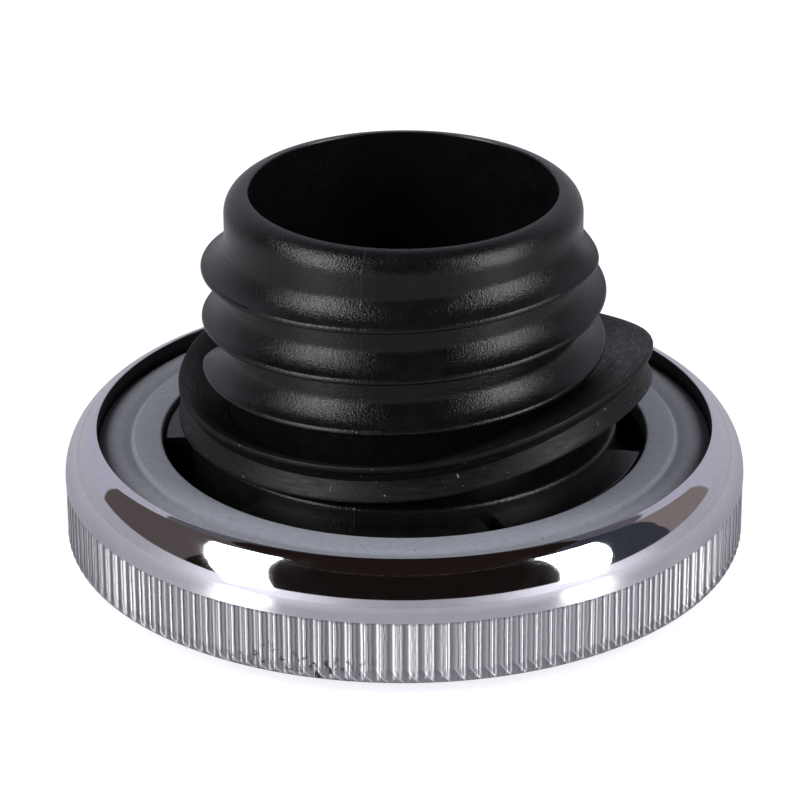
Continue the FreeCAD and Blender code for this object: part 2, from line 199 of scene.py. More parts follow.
def add_piece(name, parts, body, nodes, sharp_angle=SHARP_ANGLE):
    """A mesh piece that stands for CAD nodes and moves with their body."""
    verts, faces = join_parts(parts)
    mesh = bpy.data.meshes.new(name)
    mesh.from_pydata(verts, [], faces)
    bm = bmesh.new()
    bm.from_mesh(mesh)
    bmesh.ops.remove_doubles(bm, verts=bm.verts, dist=WELD)
    bmesh.ops.dissolve_degenerate(bm, edges=bm.edges, dist=WELD)
    bmesh.ops.recalc_face_normals(bm, faces=bm.faces)
    bm.to_mesh(mesh)
    bm.free()
    mesh.polygons.foreach_set("use_smooth", [True] * len(mesh.polygons))
    mesh.set_sharp_from_angle(angle=math.radians(sharp_angle))
    obj = bpy.data.objects.new(name, mesh)
    bpy.context.scene.collection.objects.link(obj)
    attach(obj, body)
    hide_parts(*nodes)
    return obj


def crown_z(r):
    """Height of the outer face's crown, flat on its land."""
    run = SHELL_RADIUS - EDGE_RADIUS - CROWN_LAND_RADIUS
    radius = (run ** 2 + CROWN_RISE ** 2) / (2 * CROWN_RISE)
    return radius - math.sqrt(radius ** 2 - max(0.0, r - CROWN_LAND_RADIUS) ** 2)


def flute_columns():
    """Angles across one flute's pitch, with the radius of the groove or the rib at each."""
    land = SHELL_RADIUS - FLUTE_INSET
    pitch = 2 * math.pi / FLUTE_COUNT
    half = math.sqrt(FLUTE_RADIUS ** 2 - (FLUTE_RADIUS - FLUTE_DEPTH) ** 2) / land
    columns = []
    for share in (-1.0, -0.85, -0.5, 0.0, 0.5, 0.85, 1.0):
        reach = FLUTE_RADIUS ** 2 - (share * half * land) ** 2
        groove = land - FLUTE_DEPTH + FLUTE_RADIUS - math.sqrt(reach)
        columns.append((share * half, min(groove, land - RIB_ROUND)))
    rib_half = pitch / 2.0 - half
    for share in (0.45, 1.0, 1.55):
        drop = 0.0 if share == 1.0 else RIB_SHOULDER * RIB_ROUND
        columns.append((half + share * rib_half, land - drop))
    return columns


def shell_skin():
    """Fluted grip, polished band and rim as one fine grid."""
    land = SHELL_RADIUS - FLUTE_INSET
    edge_centre = (land - EDGE_RADIUS, CROWN_RISE + EDGE_RADIUS)
    profile = arc_points(edge_centre, EDGE_RADIUS, -90.0, 0.0, 10)
    for z in np.linspace(edge_centre[1] + GRIP_FIRST_ROW, FLUTE_TOP_Z - FLUTE_LIP, 5):
        profile.append((land, z))
    fluted_rows = len(profile)
    profile += [(land, FLUTE_TOP_Z), (SHELL_RADIUS, FLUTE_TOP_Z + FLUTE_LIP)]
    band_z = FLUTE_TOP_Z + BAND_STRAIGHT
    height = RIM_Z - band_z
    inset = SHELL_RADIUS - RIM_RADIUS
    radius = (height ** 2 + inset ** 2) / (2 * inset)
    end = math.degrees(math.asin(height / radius))
    profile += arc_points((SHELL_RADIUS - radius, band_z), radius, 0.0, end - BAND_TRIM, 18)
    rim_round = (RIM_RADIUS - CAVITY_RADIUS) / 2.0
    rim_centre = (CAVITY_RADIUS + rim_round, RIM_Z - rim_round)
    profile += arc_points(rim_centre, rim_round, end - RIM_TRIM, 180.0, 8)
    profile.append((CAVITY_RADIUS, SKIN_END_Z))
    pitch = 2 * math.pi / FLUTE_COUNT
    spokes = [(k * pitch + a, low) for k in range(FLUTE_COUNT) for a, low in flute_columns()]
    verts = []
    for row, (r, z) in enumerate(profile):
        for angle, low in spokes:
            verts.append(polar(min(r, low) if row < fluted_rows else r, angle, z))
    return verts, grid_faces(len(profile), len(spokes))


def shell_rest():
    """Crown of the outer face and the cavity, seen from below and under the gasket."""
    crown = [(0.0, 0.0), (CROWN_LAND_RADIUS, 0.0)]
    for r in np.linspace(CROWN_LAND_RADIUS, SHELL_RADIUS - FLUTE_INSET - EDGE_RADIUS, 20)[1:]:
        crown.append((r, crown_z(r)))
    cavity = [(CAVITY_RADIUS, SKIN_END_Z), (CAVITY_RADIUS, SHELL_FLOOR_Z), (0.0, SHELL_FLOOR_Z)]
    return join_parts([lathe(crown, SHELL_COLUMNS), lathe(cavity, SHELL_COLUMNS)])


def thread_foot(angle):
    """Radius on which the thread stands; it sinks into the neck at both run-outs."""
    lower = (THREAD_FIRST + THREAD_LOWER_FADE - angle) / THREAD_LOWER_FADE
    upper = (angle - THREAD_LAST + THREAD_UPPER_FADE) / THREAD_UPPER_FADE
    share = min(1.0, max(0.0, lower, upper))
    return NECK_RADIUS - THREAD_SINK * share ** 2 * (3.0 - 2.0 * share)


def thread_rise(dz):
    """Radial height of the thread's profile at a height from its crest line."""
    low_run = THREAD_DEPTH - THREAD_ROUND_LOW_RISE
    high_run = THREAD_DEPTH - THREAD_ROUND_HIGH_RISE
    if dz <= -THREAD_ROUND:
        share = (dz + THREAD_UNDER) / (THREAD_UNDER - THREAD_ROUND)
        return -THREAD_EMBED + share * (low_run + THREAD_EMBED)
    if dz <= THREAD_ROUND:
        t = dz / THREAD_ROUND
        side = low_run if dz < 0 else high_run
        return side + (THREAD_DEPTH - side) * math.sqrt(max(0.0, 1 - t * t))
    run = high_run + THREAD_EMBED
    drop = THREAD_COVE - THREAD_ROUND
    radius = (run ** 2 + drop ** 2) / (2 * run)
    return radius - math.sqrt(radius ** 2 - (THREAD_COVE - dz) ** 2) - THREAD_EMBED


def neck_skin():
    """Neck wall with the thread, its rows following the helix."""
    low = COLLAR_TOP_Z
    high = MOUTH_Z - SHOULDER_DROP
    first = int(math.floor((low - THREAD_DATUM_Z) / THREAD_PITCH)) - 2
    last = int(math.ceil((high - THREAD_DATUM_Z) / THREAD_PITCH)) + 1
    rows = [(k, level) for k in range(first, last + 1) for level in THREAD_LEVELS]
    verts = []
    for k, level in rows:
        for j in range(PLUG_COLUMNS + 1):
            angle = 360.0 * j / PLUG_COLUMNS
            helix = angle + 360.0 * k
            z = THREAD_DATUM_Z + THREAD_PITCH * helix / 360.0 + level
            radius = NECK_RADIUS
            if THREAD_FIRST < helix < THREAD_LAST:
                radius = max(radius, thread_foot(helix) + thread_rise(level))
            if z < low or z > high:
                z = min(max(z, low), high)
                radius = NECK_RADIUS
            verts.append(polar(radius, math.radians(angle), z))
    return verts, grid_faces(len(rows), PLUG_COLUMNS + 1, closed=False)


def plug_rest():
    """Shoulder, bore, floor, collar and flange of the plug."""
    shoulder_z = MOUTH_Z - SHOULDER_DROP
    lip = (MOUTH_RADIUS - MOUTH_LIP_INSET, MOUTH_Z - MOUTH_LIP_DROP)
    shoulder = []
    for t in np.linspace(0.0, math.pi / 2, 14):
        shoulder.append((
            MOUTH_RADIUS + (NECK_RADIUS - MOUTH_RADIUS) * math.cos(t),
            shoulder_z + SHOULDER_DROP * math.sin(t),
        ))
    shoulder.append(lip)
    bore = [lip]
    for z in np.linspace(MOUTH_Z - BORE_FIRST_DROP, FLANGE_TOP_Z + BORE_COVE_HEIGHT, 12):
        share = (MOUTH_Z - z) / (MOUTH_Z - FLANGE_TOP_Z)
        bore.append((MOUTH_RADIUS - (MOUTH_RADIUS - BORE_BOTTOM_RADIUS) * share, z))
    bore += [(BORE_BOTTOM_RADIUS - BORE_COVE_KNEE[0], FLANGE_TOP_Z + BORE_COVE_KNEE[1])]
    bore += [(BORE_BOTTOM_RADIUS - BORE_COVE_WIDTH, FLANGE_TOP_Z)]
    bore += [(VENT_HOLE_RADIUS, FLANGE_TOP_Z), (VENT_HOLE_RADIUS, FLANGE_BOTTOM_Z)]
    bore += [(FLANGE_RADIUS, FLANGE_BOTTOM_Z), (FLANGE_RADIUS, FLANGE_TOP_Z)]
    round_centre = (COLLAR_RADIUS - COLLAR_ROUND, COLLAR_TOP_Z - COLLAR_ROUND)
    collar = [(FLANGE_RADIUS, FLANGE_TOP_Z), (COLLAR_RADIUS, FLANGE_TOP_Z)]
    collar += [(COLLAR_RADIUS, round_centre[1])]
    collar += arc_points(round_centre, COLLAR_ROUND, 0.0, 90.0, 6)
    collar += [(NECK_RADIUS, COLLAR_TOP_Z)]
    return join_parts([lathe(profile, PLUG_COLUMNS) for profile in (shoulder, bore, collar)])


def lug(start, end):
    """Raised sector on the flange, its outer top edge rounded."""
    count = max(8, int((end - start) / LUG_STEP))
    inner = COLLAR_RADIUS - LUG_SINK_IN
    foot = FLANGE_TOP_Z - LUG_SINK_DOWN
    round_centre = (LUG_RADIUS - LUG_EDGE, LUG_TOP_Z - LUG_EDGE)
    section = [(inner, foot), (LUG_RADIUS, foot), (LUG_RADIUS, round_centre[1])]
    section += arc_points(round_centre, LUG_EDGE, 20.0, 90.0, 4)
    section += [(inner, LUG_TOP_Z)]
    verts = []
    for i in range(count + 1):
        angle = math.radians(start + (end - start) * i / count)
        verts += [polar(r, angle, z) for r, z in section]
    corners = len(section)
    faces = grid_faces(count + 1, corners)
    faces.append(tuple(range(corners)))
    faces.append(tuple(count * corners + j for j in reversed(range(corners))))
    return verts, faces


def gasket_profile():
    """Section of the gasket: a flat land, then ring lines that step down outwards."""
    inner = GASKET_INNER
    top = GASKET_TOP_Z
    land_z = top - GASKET_LAND_FALL
    profile = [(inner, GASKET_BOTTOM_Z), (inner, top - GASKET_ROUND)]
    profile += arc_points((inner + GASKET_ROUND, top - GASKET_ROUND), GASKET_ROUND, 180.0, 90.0, 6)
    profile += [(GASKET_LAND_RADIUS, land_z)]
    step_centre = (GASKET_LAND_RADIUS, land_z - GASKET_STEP_ROUND)
    profile += arc_points(step_centre, GASKET_STEP_ROUND, 90.0, 25.0, 5)
    profile += [(radius, top - depth) for radius, depth in GASKET_RINGS]
    profile += [(GASKET_OUTER, GASKET_BOTTOM_Z), (inner, GASKET_BOTTOM_Z)]
    return profile


def seal_height(angle):
    """Height of the seal's middle as it waves round the neck."""
    z = SEAL_CENTRE_Z
    for i, (along, across) in enumerate(SEAL_WAVES):
        z += along * math.cos((i + 1) * angle) + across * math.sin((i + 1) * angle)
    return z


def seal_section(angle):
    """Two lips with a groove between them, the top falling towards the neck."""
    inner = NECK_RADIUS + SEAL_BORE_CLEARANCE
    lip = NECK_RADIUS + SEAL_WIDTH + SEAL_SHIFT_RIGHT * math.cos(angle)
    half = SEAL_HALF
    waist = lip - SEAL_GROOVE_DEPTH
    top = [(inner, half - SEAL_TOP_FALL), (inner + 2.6, half - 0.62 * SEAL_TOP_FALL)]
    top += [(lip - 2.0, half - 0.66), (lip - 0.7, half - 0.16), (lip - 0.18, half)]
    upper_lip = [(lip - 0.05, half - 0.05), (lip, half - 0.18), (lip, half - 0.5)]
    upper_lip += [(lip - 0.03, half - 0.6), (lip - 0.1, half - 0.62)]
    groove = [(waist + 0.55, 0.75), (waist + 0.15, 0.25), (waist, 0.0), (waist + 0.15, -0.25)]
    lower_lip = [(lip - 0.25, 0.75 - half), (lip, 0.3 - half), (lip, 0.08 - half)]
    lower_lip += [(lip - 0.08, -half), (lip - 0.5, 0.02 - half)]
    return top + upper_lip + groove + lower_lip + [(inner, SEAL_UNDER_RISE - half)]


def seal_ring():
    """The seal's section carried round the neck."""
    verts = []
    for j in range(SEAL_COLUMNS):
        angle = 2 * math.pi * j / SEAL_COLUMNS
        z = seal_height(angle)
        verts += [polar(r, angle, z + dz) for r, dz in seal_section(angle)]
    return verts, grid_faces(SEAL_COLUMNS, len(seal_section(0.0)), ring=True)


NOISE_LOW = 0.3
NOISE_HIGH = 0.7


class Nodes:
    """A material's node tree with short helpers."""

    def __init__(self, name):
        self.material = bpy.data.materials.new(name)
        self.material.use_nodes = True
        self.tree = self.material.node_tree
        self.shader = self.tree.nodes["Principled BSDF"]

    def add(self, kind, **values):
        node = self.tree.nodes.new(kind)
        for key, value in values.items():
            if hasattr(node, key):
                setattr(node, key, value)
            else:
                node.inputs[key.replace("_", " ")].default_value = value
        return node

    def link(self, a, b):
        self.tree.links.new(a, b)

    def set(self, **values):
        """Constants on the shader's own sockets."""
        for key, value in values.items():
            self.shader.inputs[key.replace("_", " ")].default_value = value

    def feed(self, **sources):
        """Links into the shader's sockets."""
        for key, source in sources.items():
            self.link(source, self.shader.inputs[key.replace("_", " ")])

    def coordinates(self):
        return self.add("ShaderNodeTexCoord").outputs["Object"]

    def noise(self, scale, detail=3.0, rough=0.6, vector=None):
        node = self.add("ShaderNodeTexNoise", Scale=scale, Detail=detail, Roughness=rough)
        self.link(vector or self.coordinates(), node.inputs["Vector"])
        return node.outputs["Fac"]

    def ramp(self, source, stops):
        node = self.add("ShaderNodeValToRGB")
        elements = node.color_ramp.elements
        while len(elements) < len(stops):
            elements.new(0.5)
        for element, (place, colour) in zip(elements, stops):
            element.position = place
            element.color = (*colour, 1.0)
        self.link(source, node.inputs["Fac"])
        return node.outputs["Color"]

    def spread(self, source, low, high, new_low, new_high):
        node = self.add("ShaderNodeMapRange", From_Min=low, From_Max=high)
        node.inputs["To Min"].default_value = new_low
        node.inputs["To Max"].default_value = new_high
        self.link(source, node.inputs["Value"])
        return node.outputs["Result"]

    def rise(self, length, low, high, top=1.0):
        """From 0 to a top value between two lengths in millimetres."""
        return self.spread(length, low * MM, high * MM, 0.0, top)

    def fall(self, length, low, high, top=1.0):
        """From a top value to 0 between two lengths in millimetres."""
        return self.spread(length, low * MM, high * MM, top, 0.0)

    def vary(self, low, high, scale, detail=3.0):
        """A value that wanders between two limits over the surface."""
        return self.spread(self.noise(scale, detail), NOISE_LOW, NOISE_HIGH, low, high)

    def mottle(self, low, high, scale, detail=3.0):
        """A colour that wanders between two limits over the surface."""
        return self.ramp(self.noise(scale, detail), [(NOISE_LOW, low), (NOISE_HIGH, high)])

    def specks(self, scale, low, high, detail=1.0):
        """Mask of the spots where the noise peaks."""
        return self.spread(self.noise(scale, detail), low, high, 0.0, 1.0)

    def bump(self, source, depth, strength=1.0, normal=None):
        """Relief of a depth in millimetres."""
        node = self.add("ShaderNodeBump", Distance=depth * MM, Strength=strength)
        self.link(source, node.inputs["Height"])
        if normal is not None:
            self.link(normal, node.inputs["Normal"])
        return node.outputs["Normal"]

    def math(self, operation, first, second=None):
        node = self.add("ShaderNodeMath", operation=operation)
        for socket, value in zip(node.inputs, (first, second)):
            if isinstance(value, (int, float)):
                socket.default_value = value
            elif value is not None:
                self.link(value, socket)
        return node.outputs[0]

    def times(self, first, second):
        return self.math("MULTIPLY", first, second)

    def plus(self, first, second):
        return self.math("ADD", first, second)

    def mix(self, blend, amount, first, second):
        node = self.add("ShaderNodeMixRGB", blend_type=blend)
        if isinstance(amount, float):
            node.inputs["Fac"].default_value = amount
        else:
            self.link(amount, node.inputs["Fac"])
        self.link(first, node.inputs["Color1"])
        if isinstance(second, tuple):
            node.inputs["Color2"].default_value = (*second, 1.0)
        else:
            self.link(second, node.inputs["Color2"])
        return node.outputs["Color"]


def polar_place(n):
    """Object coordinates as x, y, z, the radius and the angle about Z."""
    parts = n.add("ShaderNodeSeparateXYZ")
    n.link(n.coordinates(), parts.inputs[0])
    x, y, z = parts.outputs
    angle = n.math("ARCTAN2", y, x)
    radius = n.math("SQRT", n.plus(n.times(x, x), n.times(y, y)))
    return x, y, z, radius, angle


# Chrome: painted reflections and painted shade by share of a flute's pitch, then the limits of each zone in
# millimetres
# Painted reflections and painted shade across one flute: bright ribs, dark edge lines, duller grooves
FLUTE_REFLECTION_TONES = (
    (0.0, 0.44), (0.14, 0.56), (0.25, 0.80), (0.33, 0.42), (0.375, 0.10), (0.405, 0.98),
    (0.59, 0.98), (0.63, 0.06), (0.68, 0.42), (0.78, 0.68), (0.87, 0.28), (0.94, 0.38),
)
# Painted glints low on the grip
GLINT_TONES = (
    (0.0, (0.35, 0.35, 0.37)), (0.45, (0.25, 0.25, 0.27)),
    (0.55, (0.97, 0.97, 0.98)), (0.7, (0.4, 0.4, 0.42)),
)
GRIP_RADII = (40.1, 40.4)
GLINT_HEIGHTS = (2.9, 3.5)
PIT_LEFT = (-22.0, -17.0)
PIT_RIGHT = (-8.0, -1.0)
PIT_FRONT = (-30.0, -25.0)
PIT_HEIGHTS = (3.0, 6.0)
# Painted shade on the wall inside the rim, under its edge
RIM_SHADE_RADII = (CAVITY_RADIUS + 0.03, CAVITY_RADIUS + 0.12)
RIM_SHADE_HEIGHTS = (11.0, 12.0)
FLUTE_BLUE = 1.03
FLUTE_WANDER = 0.025
GLINT_SLANT = 420.0
GLINT_AMOUNT = 0.75
# Painted shadow line under the step at the flutes' top
TOP_SHADOW_AMOUNT = 0.6
TOP_SHADOW_COLOUR = (0.13, 0.13, 0.14)
# Dark, dull finish shared by the real pits and the painted shade inside the rim
PIT_AND_SHADE_COLOUR = (0.05, 0.046, 0.045)
PIT_AND_SHADE_ROUGHNESS = 0.6


def chrome_grip(n, plate, z, radius, angle):
    """Flutes over the plain plate: painted reflections, bright on the ribs and duller in the grooves,
    painted glints at the feet, a painted shadow line on top.
    """
    turns = n.times(angle, FLUTE_COUNT / (2 * math.pi))
    phase = n.math("FRACT", n.plus(turns, n.vary(-FLUTE_WANDER, FLUTE_WANDER, 450.0, 2.0)))
    # Painted reflections and painted shade of the ribs and grooves
    ribs = n.ramp(phase, [(place, (tone, tone, tone * FLUTE_BLUE)) for place, tone in FLUTE_REFLECTION_TONES])
    grip = n.times(n.fall(z, FLUTE_TOP_Z - 0.1, FLUTE_TOP_Z), n.rise(radius, *GRIP_RADII))
    lined = n.mix("MIX", grip, plate, ribs)
    # Painted glints slanting across the flutes near their feet
    glints = n.ramp(n.math("FRACT", n.plus(turns, n.times(z, GLINT_SLANT))), GLINT_TONES)
    feet = n.times(grip, n.fall(z, *GLINT_HEIGHTS, GLINT_AMOUNT))
    footed = n.mix("MIX", feet, lined, glints)
    # Painted shadow line just under the flutes' top
    top = n.times(grip, n.rise(z, FLUTE_TOP_Z - 0.4, FLUTE_TOP_Z - 0.15, TOP_SHADOW_AMOUNT))
    return n.mix("MIX", top, footed, TOP_SHADOW_COLOUR)


def chrome_pits(n, x, y, z):
    """Mask of the pits low on the grip, at the front left."""
    across = n.times(n.rise(x, *PIT_LEFT), n.fall(x, *PIT_RIGHT))
    low_front = n.times(n.fall(z, *PIT_HEIGHTS), n.fall(y, *PIT_FRONT))
    return n.times(n.times(across, low_front), n.specks(1100.0, 0.57, 0.62, 3.0))


def chrome_material():
    """Bright plate, with pits low on the grip and painted shade, dark and dull, on the wall inside the rim.
    """
    n = Nodes("chrome_plate")
    n.set(Metallic=1.0)
    x, y, z, radius, angle = polar_place(n)
    plate = n.mottle((0.69, 0.69, 0.715), (0.74, 0.74, 0.765), 900.0, 4.0)
    gripped = chrome_grip(n, plate, z, radius, angle)
    # Painted shade on the wall inside the rim
    rim_shade = n.times(n.fall(radius, *RIM_SHADE_RADII), n.rise(z, *RIM_SHADE_HEIGHTS))
    pits_and_shade = n.math("MINIMUM", n.plus(chrome_pits(n, x, y, z), rim_shade), 1.0)
    n.feed(
        Base_Color=n.mix("MIX", pits_and_shade, gripped, PIT_AND_SHADE_COLOUR),
        Roughness=n.plus(n.vary(0.03, 0.07, 400.0), n.times(pits_and_shade, PIT_AND_SHADE_ROUGHNESS)),
        Normal=n.bump(n.noise(250.0, 2.0), 0.02, 0.25),
    )
    return n.material


def plug_material():
    """Black nylon with a fine moulded grain and a parting line down the neck."""
    n = Nodes("plug_nylon")
    n.set(Specular_IOR_Level=0.28)
    angle = polar_place(n)[4]
    off_line = n.math("ABSOLUTE", n.math("SUBTRACT", angle, math.radians(MOULD_LINE_ANGLE)))
    seam = n.bump(n.spread(off_line, 0.0, MOULD_LINE_HALF, 1.0, 0.0), 0.08, 0.7)
    grain = n.bump(n.noise(4300.0, 2.0, 0.55), 0.1, 0.65, seam)
    n.feed(
        Base_Color=n.mottle((0.003, 0.003, 0.0035), (0.006, 0.006, 0.0065), 500.0),
        Roughness=n.vary(0.15, 0.24, 3200.0, 2.0),
        Normal=n.bump(n.noise(1200.0, 2.0), 0.06, 0.2, grain),
    )
    return n.material


def bore_material():
    """The plug's smooth inside, deep black: a darker copy of the nylon, painted shade inside the mouth."""
    n = Nodes("plug_bore")
    n.set(Specular_IOR_Level=0.3)
    n.feed(
        # Darker than the nylon outside: painted shade inside the mouth
        Base_Color=n.mottle((0.002, 0.002, 0.0025), (0.004, 0.004, 0.0045), 300.0),
        Roughness=n.vary(0.22, 0.3, 1500.0),
    )
    return n.material


RUBBER_TONES = (
    (0.35, (0.0025, 0.0025, 0.003)), (0.62, (0.0045, 0.0045, 0.005)), (0.8, (0.012, 0.012, 0.0125)),
)
RUBBER_SPECK = (0.20, 0.19, 0.17)
SCUFF_STRETCH = 0.004
PITTED_FROM = 24.0 * MM
PITTED_FULL = 28.0 * MM
PITTED_LEAST = 0.25


def seal_material():
    """Black rubber, scuffed along the ring, with pits on the right and pale specks."""
    n = Nodes("seal_rubber")
    n.set(Specular_IOR_Level=0.18)
    x, _, z, radius, angle = polar_place(n)
    along_ring = n.add("ShaderNodeCombineXYZ")
    for source, socket in zip((n.times(angle, SCUFF_STRETCH), z, radius), along_ring.inputs):
        n.link(source, socket)
    scuffs = n.noise(2600.0, 3.0, 0.6, along_ring.outputs[0])
    base = n.ramp(scuffs, RUBBER_TONES)
    pits = n.times(n.spread(x, PITTED_FROM, PITTED_FULL, PITTED_LEAST, 1.0), n.noise(1700.0, 3.0))
    n.feed(
        Base_Color=n.mix("MIX", n.specks(1900.0, 0.75, 0.775), base, RUBBER_SPECK),
        Roughness=n.spread(scuffs, 0.3, 0.75, 0.36, 0.6),
        Normal=n.bump(scuffs, 0.05, 0.5, n.bump(pits, 0.12, 0.7)),
    )
    return n.material


GASKET_PALE = (0.265, 0.282, 0.325)
GASKET_MID = (0.245, 0.256, 0.297)
GASKET_DEEP = (0.26, 0.265, 0.30)
GASKET_TONES = (
    (0.0, GASKET_MID), (0.06, GASKET_PALE), (0.44, GASKET_PALE), (0.5, GASKET_MID),
    (0.7, GASKET_MID), (0.8, GASKET_DEEP), (1.0, GASKET_DEEP),
)
GASKET_SPECK = (0.03, 0.03, 0.03)


def gasket_material():
    """Blue-grey compound, a little paler on its inner land, dusty and with dark specks."""
    n = Nodes("gasket_compound")
    n.set(Specular_IOR_Level=0.3)
    radius = polar_place(n)[3]
    bands = n.ramp(n.rise(radius, GASKET_INNER, GASKET_OUTER), GASKET_TONES)
    dust = n.ramp(n.noise(1400.0, 5.0), [(0.28, (0.82, 0.82, 0.83)), (0.7, (1.0, 1.0, 1.0))])
    tone = n.mix("MULTIPLY", 1.0, bands, dust)
    n.feed(
        Base_Color=n.mix("MIX", n.specks(2300.0, 0.745, 0.775), tone, GASKET_SPECK),
        Roughness=n.vary(0.6, 0.85, 900.0),
        Normal=n.bump(n.noise(3000.0, 4.0), 0.1, 0.35),
    )
    return n.material


def simple_material(name, low, high, rough, metallic=0.0):
    """Plain finish with a little wander of colour and gloss, for the pieces inside."""
    n = Nodes(name)
    n.set(Metallic=metallic)
    n.feed(
        Base_Color=n.mottle(low, high, 600.0, 4.0),
        Roughness=n.vary(rough - 0.08, rough + 0.08, 1200.0),
        Normal=n.bump(n.noise(2500.0, 2.0), 0.05, 0.3),
    )
    return n.material


def dress(obj, material):
    """Gives a piece its one material."""
    obj.data.materials.clear()
    obj.data.materials.append(material)


chrome = chrome_material()
nylon = plug_material()
shaded_bore = bore_material()
rubber = seal_material()
gasket_grey = gasket_material()
inner_black = simple_material("inner_plastic", (0.012, 0.012, 0.013), (0.022, 0.022, 0.024), 0.45)
vent_black = simple_material("vent_plastic", (0.02, 0.02, 0.021), (0.032, 0.032, 0.034), 0.42)
valve_rubber = simple_material("valve_rubber", (0.02, 0.018, 0.018), (0.035, 0.03, 0.03), 0.6)
steel = simple_material("zinc_plate", (0.48, 0.49, 0.5), (0.62, 0.63, 0.64), 0.32, 1.0)

shell = add_piece("cap_shell", [shell_skin(), shell_rest()], "shell", ["chrome_shell"])
dress(shell, chrome)
gasket_parts = [lathe(gasket_profile(), GASKET_COLUMNS)]
gasket = add_piece("rim_gasket", gasket_parts, "shell", ["cover_gasket"])
dress(gasket, gasket_grey)
plug_parts = [neck_skin(), plug_rest()] + [lug(a, b) for a, b in LUG_SPANS]
plug = add_piece("cap_plug", plug_parts, "plug", ["threaded_plug"], PLUG_SHARP_ANGLE)
dress(plug, nylon)
# Faces inside the mouth take the darker copy of the nylon, painted shade
plug.data.materials.append(shaded_bore)
for face in plug.data.polygons:
    inside = math.hypot(face.center.x, face.center.y) < (MOUTH_RADIUS - BORE_MARGIN) * MM
    if inside and face.center.z > FLANGE_BOTTOM_Z * MM:
        face.material_index = 1
seal = add_piece("neck_seal", [seal_ring()], "plug", ["lip_seal"], SEAL_SHARP_ANGLE)
dress(seal, rubber)

NODE_MATERIALS = {
    "ratchet_ring": inner_black,
    "retainer_ring": inner_black,
    "retainer_screws": steel,
    "thrust_washer": steel,
    "wave_spring": steel,
    "vent_body": vent_black,
    "vent_poppet": vent_black,
    "poppet_seal": valve_rubber,
    "vacuum_umbrella": valve_rubber,
    "vent_spring": steel,
    "vent_cap": vent_black,
}
for node, material in NODE_MATERIALS.items():
    dress(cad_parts[node], material)


def spring_piece(name, node, body):
    """Copy of a spring with a mesh of its own, carried by a body and dressed as steel."""
    spring = bpy.data.objects.new(name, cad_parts[node].data.copy())
    bpy.context.scene.collection.objects.link(spring)
    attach(spring, body)
    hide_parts(node)
    dress(spring, steel)
    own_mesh(spring)


spring_piece("ring_spring", "wave_spring", "shell")
spring_piece("valve_spring", "vent_spring", "plug")

# Studio set, in metres and degrees; azimuths from the camera's side, positive to the right
FLOOR_HALF = 4.0
FLOOR_COLOUR = (0.36, 0.355, 0.39, 1.0)
FLOOR_GLOW = (0.97, 0.96, 1.0, 1.0)
FLOOR_TO_CAMERA = 0.82
FLOOR_TO_MIRROR = 0.09
ROOM_RADIUS = 1.8
ROOM_COLUMNS = 48
ROOM_ROWS = 6
WHOLE_TURN = (-180.0, 180.0)
FRONT = (-76.0, 68.0)

# White wall round the table: an even level, a soft lobe before each lamp, a little paler behind
LAMP_AZIMUTHS = (-50.0, 56.0)
WALL_LEVEL = 0.42
WALL_LOBE = 0.97
WALL_LOBE_WIDTH = 23.0
WALL_BACK = 0.12
WALL_TINT = (0.97, 0.95, 1.06)
WALL_STEPS = 24

# Elevations at which the room's tiers meet, and the azimuths of its panels' edges there
TIERS = ("low", "mid", "top")
TIER_LEVELS = (14.0, 30.0, 47.0, 60.0)
LEFT_FAR = (-120.0, -131.0, -130.0, -119.0)
RIGHT_FAR = (97.0, 101.0, 114.0, 118.0)
PANEL_FAR = (124.0, 130.0, 118.0)
ZENITH = 90.0


def stage_mesh(name, verts, faces, material):
    """A piece of the set, which isn't part of the cap."""
    mesh = bpy.data.meshes.new(name)
    mesh.from_pydata(verts, [], faces)
    obj = bpy.data.objects.new(name, mesh)
    bpy.context.scene.collection.objects.link(obj)
    obj.data.materials.append(material)
    return obj


def floor_material():
    """Glossy pale table, white to the camera, that keeps a soft shadow."""
    n = Nodes("pale_floor")
    n.set(Base_Color=FLOOR_COLOUR, Roughness=0.26, Specular_IOR_Level=0.9, Emission_Color=FLOOR_GLOW)
    path = n.add("ShaderNodeLightPath")
    camera_part = n.times(path.outputs["Is Camera Ray"], FLOOR_TO_CAMERA)
    mirror_part = n.times(path.outputs["Is Glossy Ray"], FLOOR_TO_MIRROR)
    n.feed(Emission_Strength=n.plus(camera_part, mirror_part))
    return n.material


def wall_glow(azimuth):
    """Radiance of the white wall at an azimuth."""
    glow = WALL_LEVEL + WALL_BACK * max(0.0, -math.cos(math.radians(azimuth)))
    for lamp in LAMP_AZIMUTHS:
        glow += WALL_LOBE * math.exp(-((azimuth - lamp) / WALL_LOBE_WIDTH) ** 2)
    return glow


def wall_material():
    """White wall, brighter towards the two lamps."""
    n = Nodes("pale_wall")
    top = WALL_LEVEL + WALL_LOBE
    n.set(Base_Color=(0.0, 0.0, 0.0, 1.0), Roughness=1.0, Specular_IOR_Level=0.0, Emission_Strength=top)
    parts = n.add("ShaderNodeSeparateXYZ")
    n.link(n.coordinates(), parts.inputs[0])
    azimuth = n.math("ARCTAN2", parts.outputs[0], n.times(parts.outputs[1], -1.0))
    steps = []
    for i in range(WALL_STEPS + 1):
        tone = wall_glow(360.0 * i / WALL_STEPS - 180.0) / top
        steps.append((i / WALL_STEPS, tuple(tone * tint for tint in WALL_TINT)))
    n.feed(Emission_Color=n.ramp(n.spread(azimuth, -math.pi, math.pi, 0.0, 1.0), steps))
    return n.material


